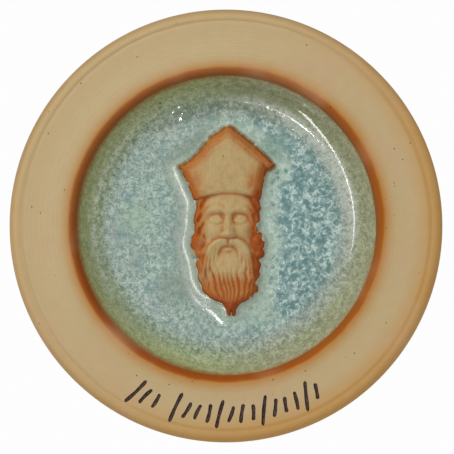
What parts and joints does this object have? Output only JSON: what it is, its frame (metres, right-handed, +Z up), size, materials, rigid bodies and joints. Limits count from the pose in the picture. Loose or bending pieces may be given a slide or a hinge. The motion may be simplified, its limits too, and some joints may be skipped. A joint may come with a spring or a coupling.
{
  "type": "decorative wall plaque",
  "caption": "Round stoneware wall plaque with a broad bare rim, a shallow glazed well and a bishop's head in low relief; pierced foot ring behind for a hanging cord.",
  "frame": {"origin": "on the flat face of the foot ring that rests on the wall, at the top of the ring, midway between the two cord holes", "axes": "+Y into the wall, +Z up, +X to the right as the plaque is looked at; the front faces -Y"},
  "size_m": [0.14, 0.02, 0.14],
  "materials": {
    "clay": "unglazed buff stoneware, matt, toasted orange near the glaze",
    "glaze": "glossy mottled blue-green glaze",
    "stroke_stain": "matt dark brown oxide in the cut strokes"
  },
  "bodies": {
    "root": {"wall_plaque": "clay"}
  },
  "joints": []
}
